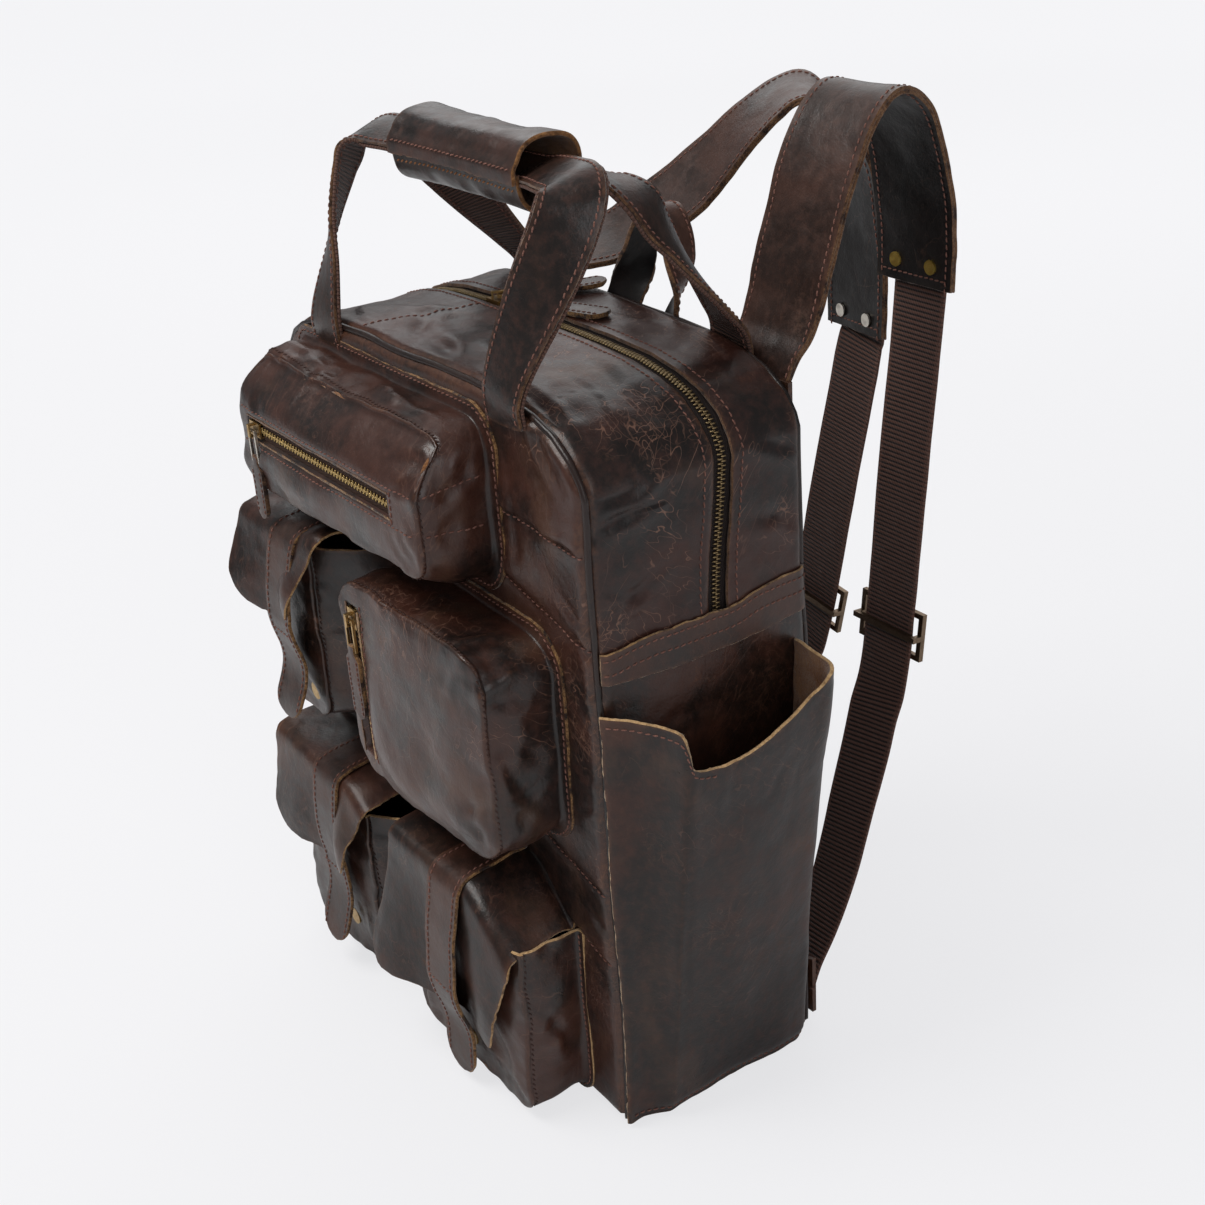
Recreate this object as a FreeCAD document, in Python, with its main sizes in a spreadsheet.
import FreeCAD, Part
import math
import os

# Leather backpack with five outside pockets, two side slip pockets, a wrapped carry
# handle and two shoulder straps.
# Frame: origin at the bottom centre of the main body, +Z up, the front of the bag
# faces -Y, the shoulder straps are on the +Y side. Millimetres.

V = FreeCAD.Vector
doc = FreeCAD.newDocument("leather_backpack")
sheet = doc.addObject("Spreadsheet::Sheet", "Sheet")

DIMENSIONS = [
    # main body
    ("body_width", 330), ("body_depth", 150), ("body_shoulder_z", 440), ("body_height", 450),
    ("top_flat_half", 112), ("leather", 3), ("seam_gap", 0.2), ("side_panel_top", 313.8),
    ("gusset_bottom", 314.2), ("zip_line_y", 16), ("zip_slot", 14),
    ("lining_thick", 0.8), ("padding_thick", 6), ("board_thick", 2.4),
    # zips
    ("tape_width", 26), ("tape_thick", 0.8), ("teeth_width", 5.5), ("teeth_high", 2.2),
    ("slider_long", 13), ("slider_wide", 9.4), ("slider_plate", 1.2), ("link_wire", 1.6),
    ("link_long", 20), ("link_wide", 10), ("tab_wide", 13), ("tab_long", 46), ("tab_thick", 3),
    # outside pockets
    ("pocket_wall", 2.5), ("flange_thick", 1.4), ("flange_lap", 6),
    ("zip_pocket_depth", 47.7), ("flap_pocket_depth", 42.7), ("flap_thick", 2.4),
    ("flap_strap_wide", 32), ("flap_strap_thick", 2.6), ("snap_radius", 6),
    # side slip pockets
    ("slip_depth_top", 41), ("slip_depth_bottom", 7), ("slip_front_y", -74),
    ("slip_length", 132), ("slip_bottom_z", 6), ("slip_top_z", 281), ("slip_wall", 3),
    # carry handle
    ("handle_wide", 33), ("handle_thick", 4), ("grip_radius", 20), ("grip_wall", 3),
    ("grip_long", 125), ("grip_y", -14), ("grip_z", 549),
    # shoulder straps and hang loop
    ("strap_wide", 60), ("strap_thick", 4), ("webbing_wide", 40), ("webbing_thick", 2.2),
    ("buckle_wide", 54), ("buckle_high", 32), ("buckle_bar", 3.5),
    ("rivet_head", 4.3), ("rivet_shank", 1.8),
    ("loop_wide", 26), ("loop_thick", 3), ("loop_top", 505),
]
for row, (alias, value) in enumerate(DIMENSIONS, start=1):
    sheet.set("A%d" % row, alias)
    sheet.set("B%d" % row, str(value))
    sheet.setAlias("B%d" % row, alias)
doc.recompute()


def size(alias):
    return float(sheet.get(alias))


HALF_WIDTH = size("body_width") / 2
HALF_DEPTH = size("body_depth") / 2
LEATHER = size("leather")
GAP = size("seam_gap")
INSET = LEATHER + GAP            # from the outside of the shell to parts lying inside it
FRONT = HALF_DEPTH + GAP         # forward distance at which the front pockets start
FRONT_EXPR = "Sheet.body_depth / 2 + Sheet.seam_gap"
TAPE = size("tape_thick")
TEETH_WIDTH = size("teeth_width")
TEETH_HIGH = size("teeth_high")
X_AXIS, Y_AXIS, Z_AXIS = V(1, 0, 0), V(0, 1, 0), V(0, 0, 1)

NODES = []


# ---------------------------------------------------------------- document helpers
# A length or offset given as text is an expression on the sheet.

def register(label, obj):
    obj.Label = label
    NODES.append((label, obj))
    return obj


def drive(obj, prop, value):
    if isinstance(value, str):
        obj.setExpression(prop, value)
    else:
        setattr(obj, prop, value)


def new_body(label):
    return register(label, doc.addObject("PartDesign::Body", "Body_" + label))


def sketch(body, axes, loop, offset):
    """Closed polygon parallel to an origin plane. On "XZ" the offset runs towards -Y."""
    drawing = body.newObject("Sketcher::SketchObject", "Sketch_" + body.Label)
    role = axes + "_Plane"
    support = [f for f in body.Origin.OriginFeatures if f.Role == role][0]
    drawing.AttachmentSupport = [(support, "")]
    drawing.MapMode = "FlatFace"
    if isinstance(offset, str):
        drawing.setExpression("AttachmentOffset.Base.z", offset)
    else:
        drawing.AttachmentOffset = FreeCAD.Placement(V(0, 0, offset), FreeCAD.Rotation())
    ends = loop[1:] + loop[:1]
    drawing.addGeometry([Part.LineSegment(V(*a, 0), V(*b, 0)) for a, b in zip(loop, ends)], False)
    return drawing


def pad(body, axes, loop, offset, length, reverse=False):
    """Pad along the sketch normal, or against it when reversed."""
    drawing = sketch(body, axes, loop, offset)
    step = body.newObject("PartDesign::Pad", "Pad_" + body.Label)
    step.Profile = drawing
    step.Reversed = reverse
    drive(step, "Length", length)
    body.Tip = step
    doc.recompute()


def cut(body, axes, loop, offset, length):
    """Pocket against the sketch normal."""
    before = body.Shape.Volume
    drawing = sketch(body, axes, loop, offset)
    step = body.newObject("PartDesign::Pocket", "Pocket_" + body.Label)
    step.Profile = drawing
    drive(step, "Length", length)
    body.Tip = step
    doc.recompute()
    if body.Shape.Volume > before - 0.5:
        raise RuntimeError("pocket cut nothing on " + body.Label)


def box(label, corner, sides):
    block = register(label, doc.addObject("Part::Box", "Box_" + label))
    for prop, value in zip(("Length", "Width", "Height"), sides):
        drive(block, prop, value)
    block.Placement = FreeCAD.Placement(V(*corner), FreeCAD.Rotation())


def feature(label, shape, placement=FreeCAD.Placement()):
    part = register(label, doc.addObject("Part::Feature", "Feature_" + label))
    part.Shape = shape
    part.Placement = placement


# ---------------------------------------------------------------- geometry helpers
def rectangle(x0, y0, x1, y1):
    return [(x0, y0), (x1, y0), (x1, y1), (x0, y1)]


def arc(cx, cy, rx, ry, start, sweep, steps):
    """Points on an elliptic arc, both ends included. Angles in degrees."""
    angles = [math.radians(start + sweep * k / steps) for k in range(steps + 1)]
    return [(cx + rx * math.cos(a), cy + ry * math.sin(a)) for a in angles]


def rounded(x0, y0, x1, y1, r):
    """Rectangle with faceted round corners."""
    corners = ((x1 - r, y0 + r, -90), (x1 - r, y1 - r, 0),
               (x0 + r, y1 - r, 90), (x0 + r, y0 + r, 180))
    return [p for cx, cy, start in corners for p in arc(cx, cy, r, r, start, 90, 4)]


def mirrored(right):
    """A chain on the +X side followed by its mirror image, walked back."""
    return right + [(-x, y) for x, y in reversed(right)]


def polygon_face(points):
    return Part.Face(Part.makePolygon(points + [points[0]]))


def plate(outline, thick):
    """Flat plate centred on the XY plane."""
    return polygon_face([V(x, y, -thick / 2) for x, y in outline]).extrude(V(0, 0, thick))


def blocks(table):
    """Boxes from rows of (sides, lowest corner)."""
    return [Part.makeBox(*sides, V(*corner)) for sides, corner in table]


def frame(origin, x, y, z):
    """Placement whose local axes are x, y and z."""
    return FreeCAD.Placement(FreeCAD.Matrix(
        x.x, y.x, z.x, origin[0],
        x.y, y.y, z.y, origin[1],
        x.z, y.z, z.z, origin[2],
        0, 0, 0, 1))


# ---------------------------------------------------------------- body shell
CORNER_RADIUS = 30.0


def body_outline(inset, z_low):
    """Body seen from the front: straight sides, rounded upper corners, and a slight
    rise to a flat crown where the main zip runs."""
    side = HALF_WIDTH - inset
    shoulder = size("body_shoulder_z") - inset
    r = CORNER_RADIUS - inset
    right = [(side, z_low), (side, shoulder - r)]
    right += arc(side - r, shoulder - r, r, r, 0, 90, 6)[1:-1]
    right += [(side - r - 2.0, shoulder + 0.4),
              (size("top_flat_half"), size("body_height") - inset)]
    return mirrored(right)


def hoop(outer_inset, inner_inset, z_low):
    """Band between two body outlines, open at the bottom."""
    return body_outline(outer_inset, z_low) + body_outline(inner_inset, z_low)[::-1]


def shell_panels():
    for label, offset in (("front_panel", "Sheet.body_depth / 2 - Sheet.leather"),
                          ("back_panel", "-Sheet.body_depth / 2")):
        pad(new_body(label), "XZ", body_outline(0, INSET), offset, "Sheet.leather")
    box("bottom_panel", (-HALF_WIDTH, -HALF_DEPTH, 0),
        ("Sheet.body_width", "Sheet.body_depth", "Sheet.leather"))
    for label, x in (("side_panel_left", -HALF_WIDTH), ("side_panel_right", HALF_WIDTH - LEATHER)):
        box(label, (x, -HALF_DEPTH + INSET, INSET),
            ("Sheet.leather",
             "Sheet.body_width * 0 + Sheet.body_depth - 2 * Sheet.leather - 2 * Sheet.seam_gap"
             .replace("Sheet.body_width * 0 + ", ""),
             "Sheet.side_panel_top - Sheet.leather - Sheet.seam_gap"))


def gussets():
    """Top hoops in front of and behind the main zip slot."""
    slot_rear = size("zip_line_y") + size("zip_slot") / 2
    for label, offset, length in (
            ("gusset_front", HALF_DEPTH - INSET,
             "Sheet.zip_line_y - Sheet.zip_slot / 2 + Sheet.body_depth / 2"
             " - Sheet.leather - Sheet.seam_gap"),
            ("gusset_rear", -slot_rear,
             "Sheet.body_depth / 2 - Sheet.leather - Sheet.seam_gap"
             " - Sheet.zip_line_y - Sheet.zip_slot / 2")):
        loop = hoop(0, LEATHER, size("gusset_bottom"))
        pad(new_body(label), "XZ", loop, offset, length, reverse=True)


def side_bands():
    """Leather band across each side, over the ends of the main zip."""
    thick, high, z_low, end_inset = 1.4, 20, 304, 3
    half = HALF_DEPTH - end_inset
    feature("side_bands", Part.makeCompound(blocks(
        [((thick, 2 * half, high), (x, -half, z_low))
         for x in (HALF_WIDTH + GAP, -HALF_WIDTH - GAP - thick)])))


def lining():
    """Open-topped thin bag inside the shell."""
    x, y0, y1, floor_z, high, above = 158, -70, 62, 7.5, 411, 440
    wall = size("lining_thick")
    body = new_body("lining")
    pad(body, "XY", rectangle(-x, y0, x, y1), floor_z, high)
    cut(body, "XY", rectangle(-x + wall, y0 + wall, x - wall, y1 - wall),
        above, above - floor_z - wall)


shell_panels()
gussets()
side_bands()
lining()
box("back_padding", (-150, 64, 10), (300, "Sheet.padding_thick", 415))
box("base_board", (-154, -66, INSET), (308, 126, "Sheet.board_thick"))


# ---------------------------------------------------------------- zips
# Local frame of a slider: zip along X, outward +Z, tape surface at Z 0.
PLATE_LOW = 2.9      # underside of the slider plate
HINGE_HIGH = 6.2     # hinge line of the pull


def slider_shape(yaw):
    """Top plate, two side flanges and a small arch turned to the pull."""
    long, wide, thick = size("slider_long"), size("slider_wide"), size("slider_plate")
    top = PLATE_LOW + thick
    cheek = 1.2
    plate_top, flange_a, flange_b = blocks([
        ((long, wide, thick), (-long / 2, -wide / 2, PLATE_LOW)),
        ((long, cheek, 2.6), (-long / 2, wide / 2 - cheek, 0.4)),
        ((long, cheek, 2.6), (-long / 2, -wide / 2, 0.4)),
    ])
    post_a, post_b, roof = blocks([
        ((1.2, 2.4, 4.4), (3.0, -1.2, top - 0.05)),
        ((1.2, 2.4, 4.4), (-4.2, -1.2, top - 0.05)),
        ((8.4, 2.4, 1.2), (-4.2, -1.2, top + 3.3)),
    ])
    crown = post_a.fuse([post_b, roof])
    crown.rotate(V(0, 0, 0), Z_AXIS, yaw)
    return plate_top.fuse([flange_a, flange_b, crown]).removeSplitter()


def link_shape():
    """Rectangular wire link running from the hinge line along +X."""
    wire, long, wide = size("link_wire"), size("link_long"), size("link_wide")
    outer, inner = blocks([
        ((long + wire, wide, wire), (-wire / 2, -wide / 2, -wire / 2)),
        ((long - wire, wide - 2 * wire, 2 * wire), (wire / 2, -wide / 2 + wire, -wire)),
    ])
    return outer.cut(inner)


def tab_shape(tab_long):
    """Leather puller: narrow neck with a hole for the link, then a round-ended strap."""
    start = size("link_long")
    half = size("tab_wide") / 2
    neck_half, neck_back, neck_front, full_width = 2.9, 3.2, 2.6, 5.5
    neck = [(start - neck_back, -neck_half), (start + neck_front, -neck_half),
            (start + full_width, -half)]
    outline = neck + arc(start + tab_long - half, 0, half, half, -90, 180, 8)
    outline += [(x, -y) for x, y in reversed(neck)]
    # the hole clears the square wire's diagonal
    hole_radius = size("link_wire") / 2 * 1.4142 + 0.15
    hole = Part.makeCylinder(hole_radius, 8, V(start, -4, 0), Y_AXIS)
    return plate(outline, size("tab_thick")).cut(hole)


def zip_pull(name, origin, along, outward, pull_angle, tab_long=size("tab_long")):
    """Slider, link and tab. origin: point on the tape surface under the crown."""
    place = frame(origin, along, outward.cross(along), outward)
    feature(name + "_slider", slider_shape(pull_angle), place)
    turn = FreeCAD.Placement(V(0, 0, HINGE_HIGH), FreeCAD.Rotation(Z_AXIS, pull_angle))
    feature(name + "_link", link_shape(), place.multiply(turn))
    feature(name + "_tab", tab_shape(tab_long), place.multiply(turn))


def main_zip():
    """Tape and teeth as one hoop each, over the top of the bag, with two pulls."""
    line_y = size("zip_line_y")
    tape_low, teeth_low = 298.0, 316.0
    body = new_body("main_zip")
    pad(body, "XZ", hoop(INSET, INSET + TAPE, tape_low),
        size("tape_width") / 2 - line_y, "Sheet.tape_width", reverse=True)
    pad(body, "XZ", hoop(INSET - TEETH_HIGH, INSET + TAPE / 2, teeth_low),
        TEETH_WIDTH / 2 - line_y, "Sheet.teeth_width", reverse=True)
    tape_z = size("body_height") - INSET
    for name, x, angle in (("main_left", -48, 62.0), ("main_right", -28, 20.0)):
        zip_pull(name, (x, line_y, tape_z), X_AXIS, Z_AXIS, angle)


main_zip()


# ---------------------------------------------------------------- zipped front pockets
WALL = size("pocket_wall")
LAP = size("flange_lap")


def zip_pocket(name, area, slot, along_x, slider_at, pull_angle, tab_long=size("tab_long")):
    """Box pocket with a flange, open to the panel, with a zip in a slot in its face.
    area and slot: x0, z0, x1, z1. slider_at: x or z of the slider along the slot."""
    x0, z0, x1, z1 = area
    face = FRONT + size("zip_pocket_depth")
    shell = new_body(name + "_shell")
    pad(shell, "XZ", rounded(x0 - LAP, z0 - LAP, x1 + LAP, z1 + LAP, 8),
        FRONT_EXPR, "Sheet.flange_thick")
    pad(shell, "XZ", rounded(x0, z0, x1, z1, 12), FRONT_EXPR, "Sheet.zip_pocket_depth")
    cut(shell, "XZ", rounded(x0 + WALL, z0 + WALL, x1 - WALL, z1 - WALL, 10),
        FRONT_EXPR + " + Sheet.zip_pocket_depth - Sheet.pocket_wall", size("zip_pocket_depth"))
    cut(shell, "XZ", rectangle(*slot), face + 1, WALL + 3)

    # tape behind the slot, teeth standing in it
    x0, z0, x1, z1 = slot
    mid_x, mid_z = (x0 + x1) / 2, (z0 + z1) / 2
    tape_lap, end_gap, half = 3.0, 1, TEETH_WIDTH / 2
    tape_front = face - WALL - GAP
    if along_x:
        teeth = rectangle(x0 + end_gap, mid_z - half, x1 - end_gap, mid_z + half)
        origin, along = (slider_at, -tape_front, mid_z), X_AXIS
    else:
        teeth = rectangle(mid_x - half, z0 + end_gap, mid_x + half, z1 - end_gap)
        origin, along = (mid_x, -tape_front, slider_at), -Z_AXIS
    tape = new_body(name + "_zip")
    pad(tape, "XZ", rectangle(x0 - tape_lap, z0 - tape_lap, x1 + tape_lap, z1 + tape_lap),
        tape_front - TAPE, "Sheet.tape_thick")
    pad(tape, "XZ", teeth, tape_front - TAPE / 2, "Sheet.tape_thick / 2 + Sheet.teeth_high")
    zip_pull(name, origin, along, -Y_AXIS, pull_angle, tab_long)


zip_pocket("top_pocket", area=(-136, 334, 78, 430), slot=(-124, 380, 48, 392),
           along_x=True, slider_at=-116, pull_angle=-90.0, tab_long=45.0)
zip_pocket("mid_pocket", area=(-30, 190, 124, 314), slot=(-22, 202, -10, 303),
           along_x=False, slider_at=294, pull_angle=0.0)


# ---------------------------------------------------------------- flap pockets
FLAP = size("flap_thick")
HINGE_Y = -121.5                 # fold between the two leaves of each flap
LEAF_FRONT = -HINGE_Y + 0.3      # forward distance of the back of the hanging leaf
STRAP_FRONT = LEAF_FRONT + FLAP + 0.2
TIP_RISE = 14                    # height of the strap's rounded tip
SNAP_RISE = 17                   # snap centre above the strap tip


def pocket_box(name, x0, z0, x1, z1):
    """Flanged pocket, open at the top."""
    depth = size("flap_pocket_depth")
    body = new_body("pocket_" + name)
    pad(body, "XZ", rounded(x0 - LAP, z0, x1 + LAP, z1 + 4, 3), FRONT_EXPR, "Sheet.flange_thick")
    pad(body, "XZ", rounded(x0, z0, x1, z1, 10), FRONT_EXPR, "Sheet.flap_pocket_depth")
    cut(body, "XZ", rounded(x0 + WALL, z0 + WALL, x1 - WALL, z1 + 30, 8),
        FRONT + depth - WALL, depth - WALL - size("flange_thick"))


def flap_leaves(name, x0, x1, fold_z, drop):
    """Upper leaf from the panel forward to the fold, front leaf hanging from the fold."""
    root_z = fold_z + 10
    panel_y = -FRONT
    leaf_y = panel_y - FLAP
    profile = [(panel_y, root_z + 4), (panel_y, root_z - 8), (leaf_y, root_z - 8),
               (leaf_y, root_z - 1.2), (HINGE_Y + 1.0, fold_z - FLAP), (HINGE_Y + 1.0, fold_z),
               (leaf_y - 3, root_z + 1.4), (leaf_y, root_z + 4)]
    pad(new_body("flap_root_" + name), "YZ", profile, x0, x1 - x0)
    pad(new_body("flap_" + name), "XZ", rounded(x0, fold_z - drop, x1, fold_z - 1.5, 6),
        LEAF_FRONT, "Sheet.flap_thick")


def flap_strap(name, x, fold_z, tip_z):
    """Round-tipped strap down the front leaf."""
    half = size("flap_strap_wide") / 2
    arc_z = tip_z + TIP_RISE
    loop = [(x - half, fold_z - 2), (x - half, arc_z)]
    loop += arc(x, arc_z, half, TIP_RISE, 180, 180, 8)[1:-1]
    loop += [(x + half, arc_z), (x + half, fold_z - 2)]
    pad(new_body("flap_strap_" + name), "XZ", loop, STRAP_FRONT, "Sheet.flap_strap_thick")


def snap_stud(name, x, z):
    """Stud on the back of the strap, pointing to +Y."""
    label = "snap_stud_" + name
    stud = register(label, doc.addObject("Part::Cylinder", "Cyl_" + label))
    stud.Height = 2.6
    stud.setExpression("Radius", "Sheet.snap_radius")
    stud.Placement = FreeCAD.Placement(V(x, 0.15 - STRAP_FRONT, z),
                                       FreeCAD.Rotation(X_AXIS, -90))


def snap_socket(x, z):
    """Socket on the pocket face."""
    face_y = -FRONT - size("flap_pocket_depth")
    return Part.makeCylinder(size("snap_radius"), 1.4, V(x, face_y - 0.1, z), -Y_AXIS)


# name, pocket x0 z0 x1 z1, flap overhang each side, fold z, flap drop, strap x, strap tip z
FLAP_POCKETS = [
    ("upper_left", (-152, 192, -44, 304), 4, 313, 76, -97, 192),
    ("lower_left", (-158, 8, -22, 134), 5, 148, 84, -90, 16),
    ("lower_right", (-4, 8, 134, 134), 5, 148, 84, 62, 10),
]
sockets = []
for name, area, overhang, fold_z, drop, strap_x, tip_z in FLAP_POCKETS:
    pocket_box(name, *area)
    flap_leaves(name, area[0] - overhang, area[2] + overhang, fold_z, drop)
    flap_strap(name, strap_x, fold_z, tip_z)
    snap_stud(name, strap_x, tip_z + SNAP_RISE)
    sockets.append(snap_socket(strap_x, tip_z + SNAP_RISE))
feature("snap_sockets", Part.makeCompound(sockets))


# ---------------------------------------------------------------- side slip pockets
def slip_pocket(name, side):
    """Open-topped wedge on one side of the body, deeper at the top. side: +1 is +X."""
    low, high = size("slip_bottom_z"), size("slip_top_z")
    depth_low, depth_high = size("slip_depth_bottom"), size("slip_depth_top")
    wall = size("slip_wall")
    x = HALF_WIDTH + GAP
    slope = (depth_high - depth_low) / (high - low)
    above = 20    # the cut runs this far past the mouth
    outer = [(x, low), (x + depth_low, low), (x + depth_high, high), (x, high)]
    inner = [(x - 1, low + wall), (x + depth_low - wall + slope * wall, low + wall),
             (x + depth_high - wall + slope * above, high + above), (x - 1, high + above)]
    body = new_body("slip_pocket_" + name)
    pad(body, "XZ", [(side * px, z) for px, z in outer],
        "-Sheet.slip_front_y", "Sheet.slip_length", reverse=True)
    cut(body, "XZ", [(side * px, z) for px, z in inner],
        "-Sheet.slip_front_y - Sheet.slip_wall", "Sheet.slip_length - 2 * Sheet.slip_wall")


slip_pocket("right", 1)
slip_pocket("left", -1)


# ---------------------------------------------------------------- carry handle
def handle(label, foot_y, top_y, corner_x):
    """Flat strap cut as an arch, leaning from its feet at the body edge to the grip."""
    foot_x, foot_z, top_z = 98, 436, size("grip_z")
    rise = math.hypot(top_y - foot_y, top_z - foot_z)
    half = size("handle_wide") / 2
    bar_half = 7.0
    neck = rise - 34
    outer = [(foot_x + half, 0), (corner_x + half, neck), (corner_x + half - 4, rise - 8),
             (corner_x + half - 16, rise + bar_half)]
    inner = [(foot_x - half, 0), (corner_x - half, neck),
             (corner_x - half - 8, rise - bar_half - 5), (66, rise - bar_half)]
    tilt = math.degrees(math.atan2(top_z - foot_z, top_y - foot_y))
    feature(label, plate(mirrored(outer) + mirrored(inner)[::-1], size("handle_thick")),
            FreeCAD.Placement(V(0, foot_y, foot_z), FreeCAD.Rotation(X_AXIS, tilt)))


def grip_half(label, start):
    """Half of the grip tube, from the start angle. +Y is 0 degrees and +Z is 90."""
    sweep = 176
    y, z, outer = size("grip_y"), size("grip_z"), size("grip_radius")
    inner = outer - size("grip_wall")
    loop = arc(y, z, outer, outer, start, sweep, 16)
    loop += arc(y, z, inner, inner, start + sweep, -sweep, 16)
    pad(new_body(label), "YZ", loop, "-Sheet.grip_long / 2", "Sheet.grip_long")


handle("handle_front", foot_y=-86.2, top_y=-20, corner_x=106)
handle("handle_rear", foot_y=90, top_y=-7.5, corner_x=100)
grip_half("grip_wrap", 182)     # lower half
grip_half("grip_flap", 2)       # upper half


# ---------------------------------------------------------------- hang loop
def loop_arch(half, top):
    center_x, foot_z = 18.0, 441
    high = half * 0.8
    return ([(center_x + half, foot_z)] + arc(center_x, top - high, half, high, 0, 180, 10)
            + [(center_x - half, foot_z)])


def hang_loop():
    """Arched strip standing behind the back panel."""
    half, top, thick = 26.0, size("loop_top"), size("loop_thick")
    loop = loop_arch(half, top) + loop_arch(half - thick, top - thick)[::-1]
    pad(new_body("hang_loop"), "XZ", loop, -(HALF_DEPTH + 4), "Sheet.loop_wide", reverse=True)


hang_loop()


# ---------------------------------------------------------------- shoulder straps
def band(points, sides, width, thick):
    """Strap of rectangles square to its path. sides: width direction at each point."""
    path = [V(*p) for p in points]
    last = len(path) - 1
    sections = []
    for i, point in enumerate(path):
        tangent = path[min(i + 1, last)] - path[max(i - 1, 0)]
        tangent.normalize()
        across = V(*sides[i])
        across = across - tangent * across.dot(tangent)
        across.normalize()
        normal = tangent.cross(across)
        normal.normalize()
        a, b = across * (width / 2), normal * (thick / 2)
        sections.append([point + a + b, point - a + b, point - a - b, point + a - b])
    faces = []
    for near, far in zip(sections, sections[1:]):
        for k in range(4):
            m = (k + 1) % 4
            faces.append(polygon_face([near[k], near[m], far[m]]))
            faces.append(polygon_face([near[k], far[m], far[k]]))
    for end in (sections[0], sections[-1]):
        faces.append(polygon_face([end[0], end[1], end[2]]))
        faces.append(polygon_face([end[0], end[2], end[3]]))
    solid = Part.makeSolid(Part.makeShell(faces))
    if solid.Volume < 0:
        solid.reverse()
    return solid


def blend_sides(count, stops):
    """Width directions blended between stops of (fraction of the point list, direction)."""
    sides = []
    for i in range(count):
        f = i / (count - 1.0)
        for (f0, a), (f1, b) in zip(stops, stops[1:]):
            if f0 <= f <= f1:
                g = (f - f0) / (f1 - f0)
                sides.append(tuple(a[k] + (b[k] - a[k]) * g for k in range(3)))
                break
    return sides


def rivet(point, axis, reach_in, reach_out):
    """Two heads joined by a shank through leather and webbing."""
    axis = V(axis)
    axis.normalize()
    head, head_thick = size("rivet_head"), 1.3
    shank = Part.makeCylinder(size("rivet_shank"), reach_in + reach_out + 1.0,
                              point - axis * (reach_in + 0.5), axis)
    inner = Part.makeCylinder(head, head_thick, point - axis * (reach_in + head_thick), axis)
    outer = Part.makeCylinder(head, head_thick, point + axis * reach_out, axis)
    return shank.fuse([inner, outer])


def adjuster(label, upper, lower, rise):
    """Three-bar slide on the webbing run from lower to upper, rise above its lower end.
    The outer bars lie behind the webbing, the middle bar in front of it."""
    wide, high, bar = size("buckle_wide"), size("buckle_high"), size("buckle_bar")
    clear = 1.6    # from the webbing centre to the bars
    left, right, rear = -wide / 2, wide / 2 - bar, -clear - bar
    post = 2 * clear + 2 * bar
    first, *others = blocks([
        ((wide, bar, bar), (left, high / 2 - bar, rear)),
        ((wide, bar, bar), (left, -high / 2, rear)),
        ((wide, bar, bar), (left, -bar / 2, clear)),
        ((bar, high, bar), (left, -high / 2, rear)),
        ((bar, high, bar), (right, -high / 2, rear)),
        ((bar, bar, post), (left, -bar / 2, rear)),
        ((bar, bar, post), (right, -bar / 2, rear)),
    ])
    run = V(*upper) - V(*lower)
    center = V(*lower) + run * (rise / run.z)
    y = V(run)
    y.normalize()
    x = X_AXIS - y * X_AXIS.dot(y)
    x.normalize()
    feature(label, first.fuse(others).removeSplitter(), frame(center, x, y, x.cross(y)))


def shoulder_strap(side, leather, webbing, joint, run_start, rise):
    """Leather strap riveted to its webbing, and the adjuster on the webbing.
    leather, webbing: (path, sides). run_start: index of the point above the adjuster."""
    strap = band(*leather, size("strap_wide"), size("strap_thick"))
    web = band(*webbing, size("webbing_wide"), size("webbing_thick"))
    normal, half = joint["normal"], joint["hole_half"]
    rivets = []
    for offset in (-14, 14):
        center = joint["center"] + joint["across"] * offset
        hole = Part.makeCylinder(size("rivet_shank") + 0.3, 2 * half,
                                 center - normal * half, normal)
        strap = strap.cut(hole)
        web = web.cut(hole)
        rivets.append(rivet(center + normal * joint["rivet_shift"], normal, *joint["reach"]))
    feature("shoulder_strap_" + side, strap)
    feature("webbing_" + side, web)
    feature("strap_rivets_" + side, Part.makeCompound(rivets))
    path = webbing[0]
    adjuster("adjuster_" + side, path[run_start], path[run_start + 1], rise)


# Strap paths: x, y, z from the top of the bag down.
RIGHT_LEATHER = [
    (118, 92, 447), (118.5, 97, 462), (119, 104, 484), (119.5, 113, 510), (120, 124, 538),
    (120.5, 134, 557), (121, 145, 569), (121, 156, 573), (121, 168, 569), (121, 179, 557),
    (121, 188, 537), (121, 194, 512), (121, 197.5, 486), (121, 198, 470), (121, 198, 456),
]
RIGHT_WEBBING = [
    (121, 201.4, 480), (121, 201.4, 452), (120, 178.7, 214), (124, 164, 176),
    (131, 141, 130), (138, 118, 85), (142, 100, 52),
]
shoulder_strap(
    "right",
    leather=(RIGHT_LEATHER, [(1, 0, 0)] * len(RIGHT_LEATHER)),
    webbing=(RIGHT_WEBBING, [(1, 0, 0)] * len(RIGHT_WEBBING)),
    joint=dict(center=V(121, 200, 466), across=X_AXIS, normal=Y_AXIS,
               hole_half=10, rivet_shift=-0.8, reach=(3.5, 3.6)),
    run_start=1, rise=20.0)

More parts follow.
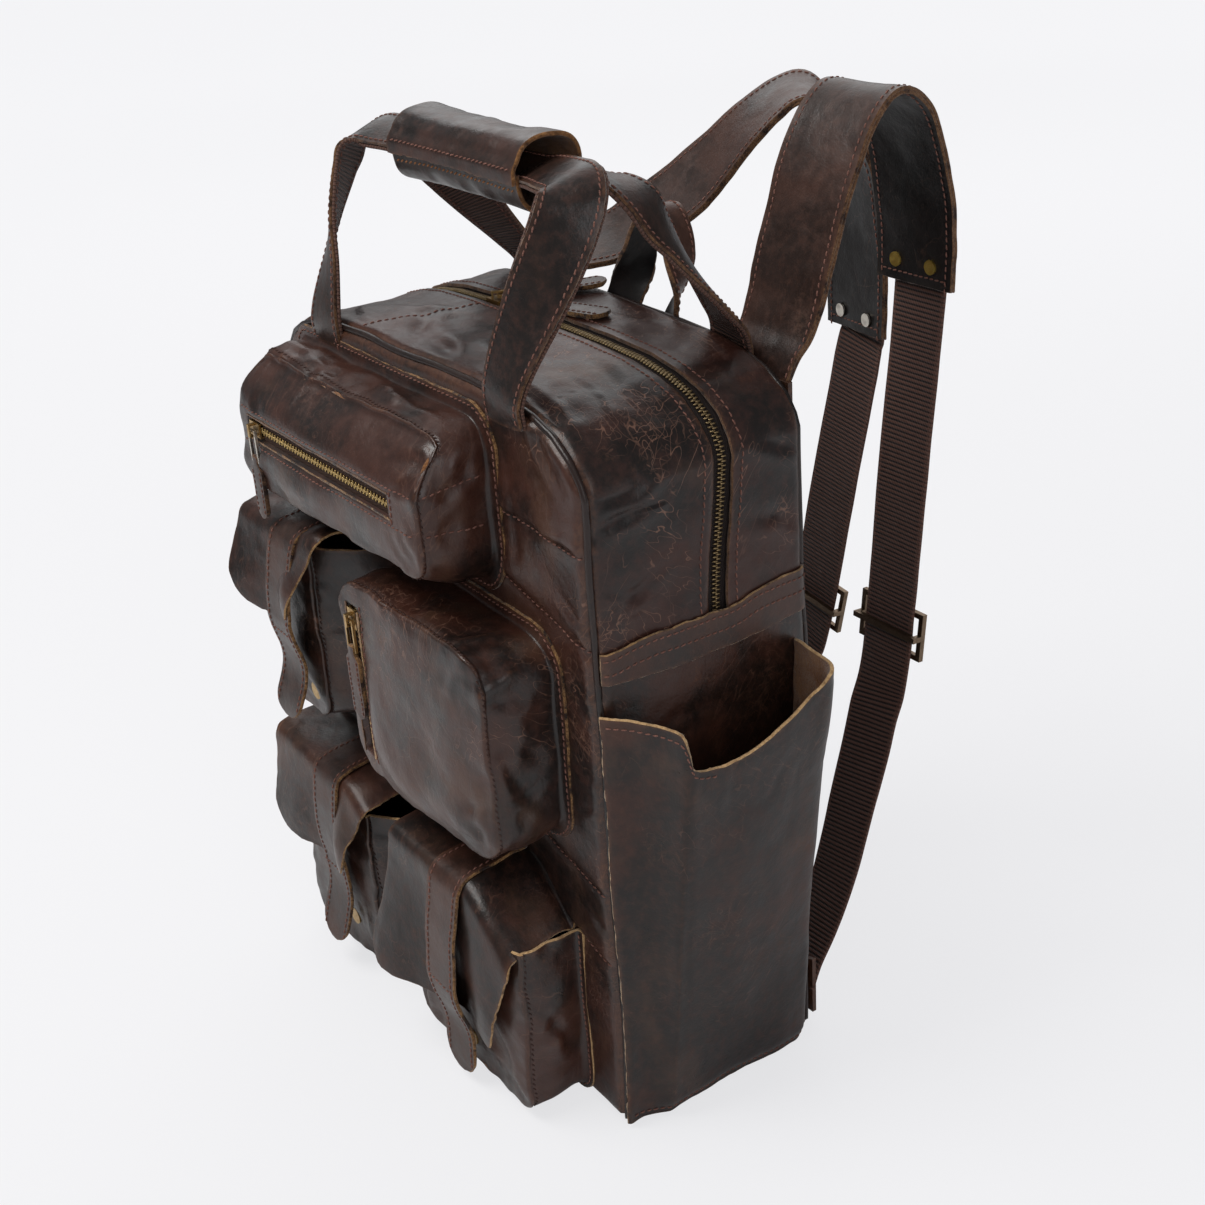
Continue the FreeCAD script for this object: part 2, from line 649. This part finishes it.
# The left strap has fallen towards the middle of the back and is turned at its end.
LEFT_LEATHER = [
    (-104, 106, 451), (-94, 117, 456), (-80, 131, 463), (-66, 146, 474), (-50, 163, 490),
    (-36, 178, 509), (-22, 192, 529), (-8, 205, 544), (5, 215, 549), (17, 224, 541),
    (26, 230, 520), (33, 232, 494), (37, 230.5, 466), (39.4, 228.4, 440), (40, 228, 420),
    (40.5, 227.4, 402),
]
LEFT_ACROSS = (0.989, -0.148, 0)
LEFT_NORMAL = V(0.148, 0.989, 0)
LEFT_LEATHER_STOPS = [
    (0.0, (1, 0, 0)), (0.3, (0.9, -0.3, -0.25)), (0.55, (0.75, -0.55, -0.1)),
    (0.72, (0.93, -0.3, 0.1)), (0.86, LEFT_ACROSS), (1.0, LEFT_ACROSS),
]
WEB_SHIFT = LEFT_NORMAL * 3.9    # the webbing's upper end lies on the outside of the leather
LEFT_WEBBING = [
    tuple(V(40.1, 228.1, 426) + WEB_SHIFT), tuple(V(40.6, 227.7, 399) + WEB_SHIFT),
    (39, 229.5, 384), (12, 209, 185), (2, 200, 158), (-30, 178, 125), (-75, 145, 90),
    (-115, 116, 66), (-136, 100, 52),
]
LEFT_WEBBING_STOPS = [
    (0, LEFT_ACROSS), (0.125, (0.9925, -0.102, 0)), (0.25, (1, 0, 0)), (0.4, (1, 0, 0)),
    (0.7, (0.85, -0.3, 0.4)), (1, (0.95, 0.1, 0.2)),
]
shoulder_strap(
    "left",
    leather=(LEFT_LEATHER, blend_sides(len(LEFT_LEATHER), LEFT_LEATHER_STOPS)),
    webbing=(LEFT_WEBBING, blend_sides(len(LEFT_WEBBING), LEFT_WEBBING_STOPS)),
    joint=dict(center=V(40.3, 227.4, 411), across=V(*LEFT_ACROSS), normal=LEFT_NORMAL,
               hole_half=12, rivet_shift=1.2, reach=(3.4, 5.3)),
    run_start=2, rise=21.0)


def anchor_tabs():
    """Strap ends on the back panel: upper patches and lower corner tabs."""
    y, thick = HALF_DEPTH + GAP, 3
    corner_tab = [(122, 6), (163, 6), (163, 48), (122, 34)]    # x, z
    tabs = []
    for side in (-1, 1):
        tabs += blocks([((60, thick, 30), (side * 118 - 30, y, 400))])
        face = polygon_face([V(side * x, y, z) for x, z in corner_tab])
        tabs.append(face.extrude(V(0, thick, 0)))
    feature("anchor_tabs", Part.makeCompound(tabs))


anchor_tabs()

# ---------------------------------------------------------------- check and write
doc.recompute()
for obj in doc.Objects:
    if "Invalid" in obj.State or "Error" in obj.State:
        raise RuntimeError("failed object: " + obj.Label)
for name, obj in NODES:
    if obj.Shape.isNull() or not obj.Shape.isValid() or not obj.Shape.Solids:
        raise RuntimeError("bad shape: " + name)
os.makedirs("parts", exist_ok=True)
for name, obj in NODES:
    obj.Shape.exportStep("parts/%s.step" % name)
